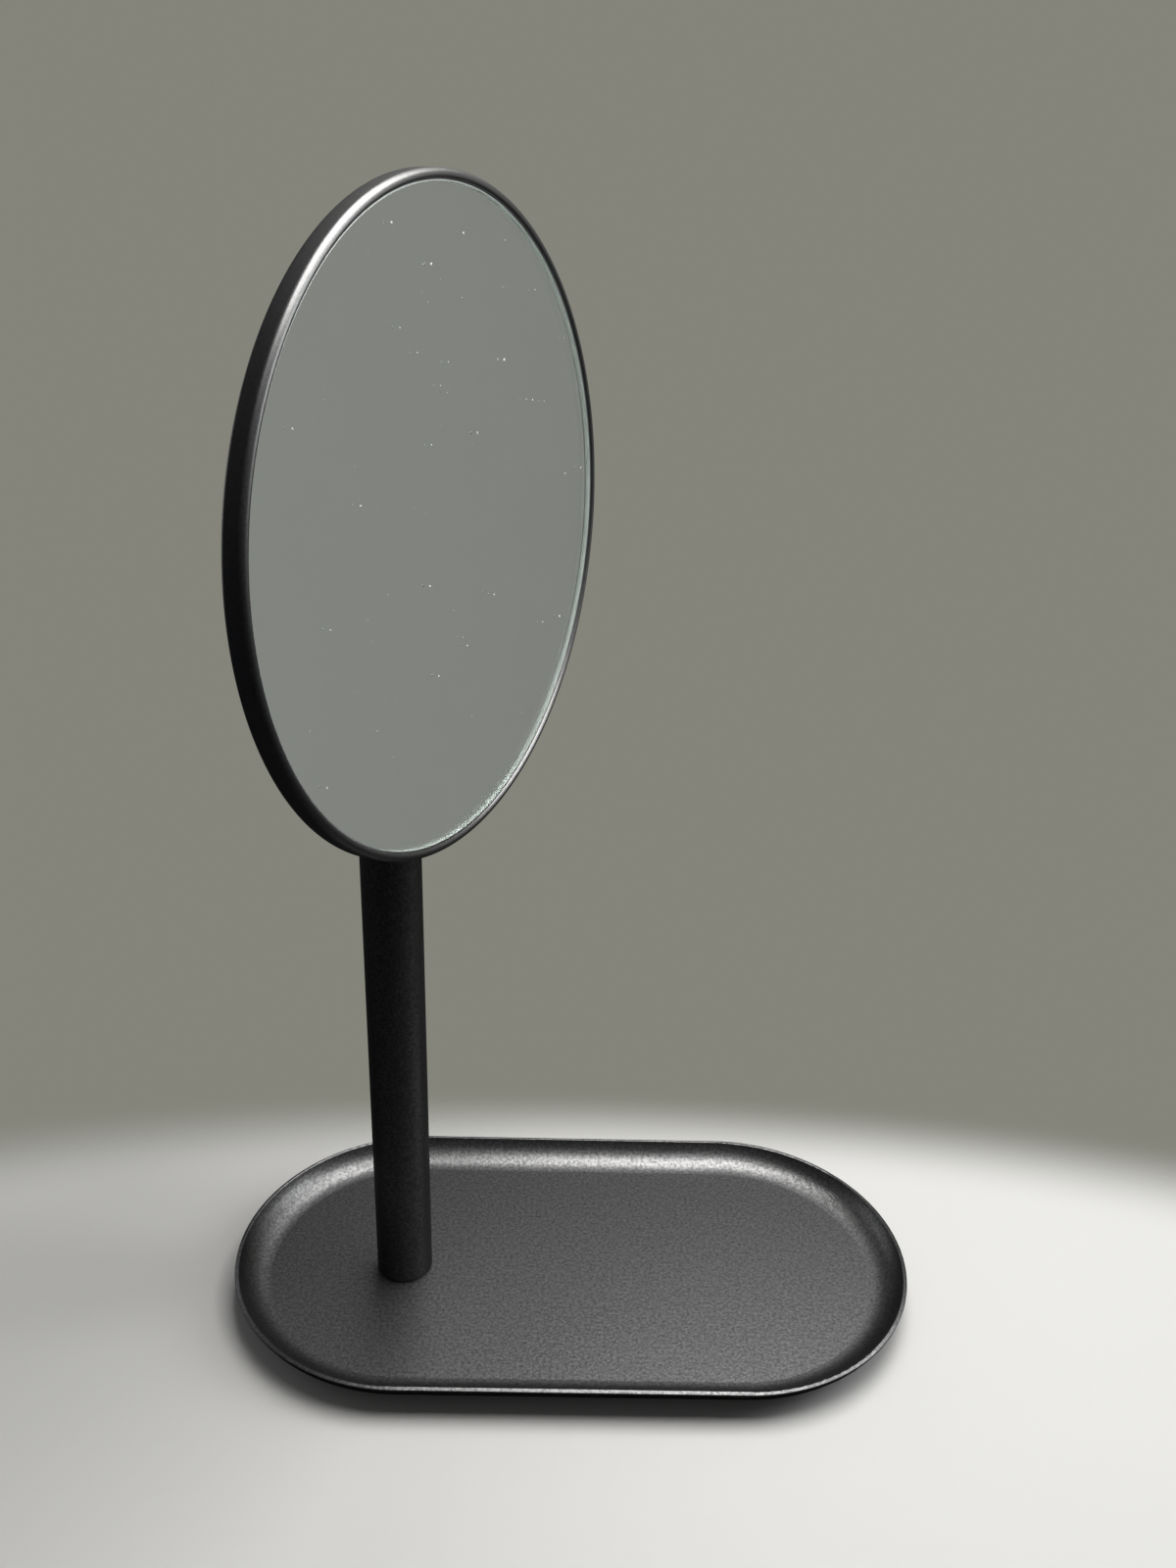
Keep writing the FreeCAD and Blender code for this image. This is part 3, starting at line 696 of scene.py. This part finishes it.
def makeFrameRing(look):
    outer, inner, steps = look["outer"], look["inner"], look["roundSteps"]
    front, lip, rear = look["frontRound"], look["lipRound"], look["rearRound"]
    section = arc((outer - front, look["crest"] - front), front, 0, 90, steps)
    section += arc((inner + lip, look["crest"] - lip), lip, 90, 180, steps)
    lipInner, lipFront = look["rearLip"]
    section += [(inner, lipFront), (lipInner, lipFront), (lipInner, look["back"])]
    section += arc((outer - rear, look["back"] + rear), rear, 270, 360, steps)
    piece = lathe("frameRing", section, look["segments"], mirrorMatrix(pane), closed=True)
    piece.data.materials.append(fineCoat)
    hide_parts("frame_ring")
    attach(piece, "mirror")


dust = {
    "motes": 90,
    "seed": 7,
    "size": (0.00008, 0.00036),  # half width
    "rareLarge": 3,  # the higher, the fewer large ones
    "reach": 0.078,
    "stretch": (0.8, 1.5),
    "flatness": 0.4,
    "sunk": 0.8,  # centre above the glass, against the half height
    "splits": 2,
    "cells": 6000.0,
    "depth": 0.00002,
    "roughness": 0.9,
    "dark": (0.55, 0.55, 0.53),
    "light": (0.80, 0.80, 0.77),
}


def makeDust(look):
    # lint and dust grains that lie on the glass
    choose = random.Random(look["seed"])
    form = bmesh.new()
    least, most = look["size"]
    for _ in range(look["motes"]):
        half = least + (most - least) * choose.random() ** look["rareLarge"]
        away = look["reach"] * math.sqrt(choose.random())
        about = choose.uniform(0, 2 * math.pi)
        long = choose.uniform(*look["stretch"])
        high = half * look["flatness"]
        level = pane["front"] + high * look["sunk"]
        spot = Matrix.Translation((away * math.cos(about), away * math.sin(about), level))
        shape = Matrix.Diagonal((half * long, half / long, high, 1))
        turn = Matrix.Rotation(choose.uniform(0, math.pi), 4, "Z")
        placed = mirrorMatrix(pane) @ spot @ turn @ shape
        bmesh.ops.create_icosphere(form, subdivisions=look["splits"], radius=1, matrix=placed)
    mesh = bpy.data.meshes.new("dustMotes")
    form.to_mesh(mesh)
    form.free()
    mesh.shade_smooth()
    motes = bpy.data.objects.new("dustMotes", mesh)
    bpy.context.scene.collection.objects.link(motes)
    lint, tree, shader = newMaterial("lint", Roughness=look["roughness"])
    clumps = addGroup(tree, poreGroup, {"Cells per metre": look["cells"]})
    tone = addTone(tree, clumps.outputs["Tint"], look["dark"], look["light"])
    tree.links.new(tone, shader.inputs["Base Color"])
    addBump(tree, clumps.outputs["Pore"], look["depth"], shader)
    mesh.materials.append(lint)
    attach(motes, "mirror")


makePane(pane)
makeFrameRing(ring)
makeDust(dust)
print("mirror pane, frame ring and dust are made")
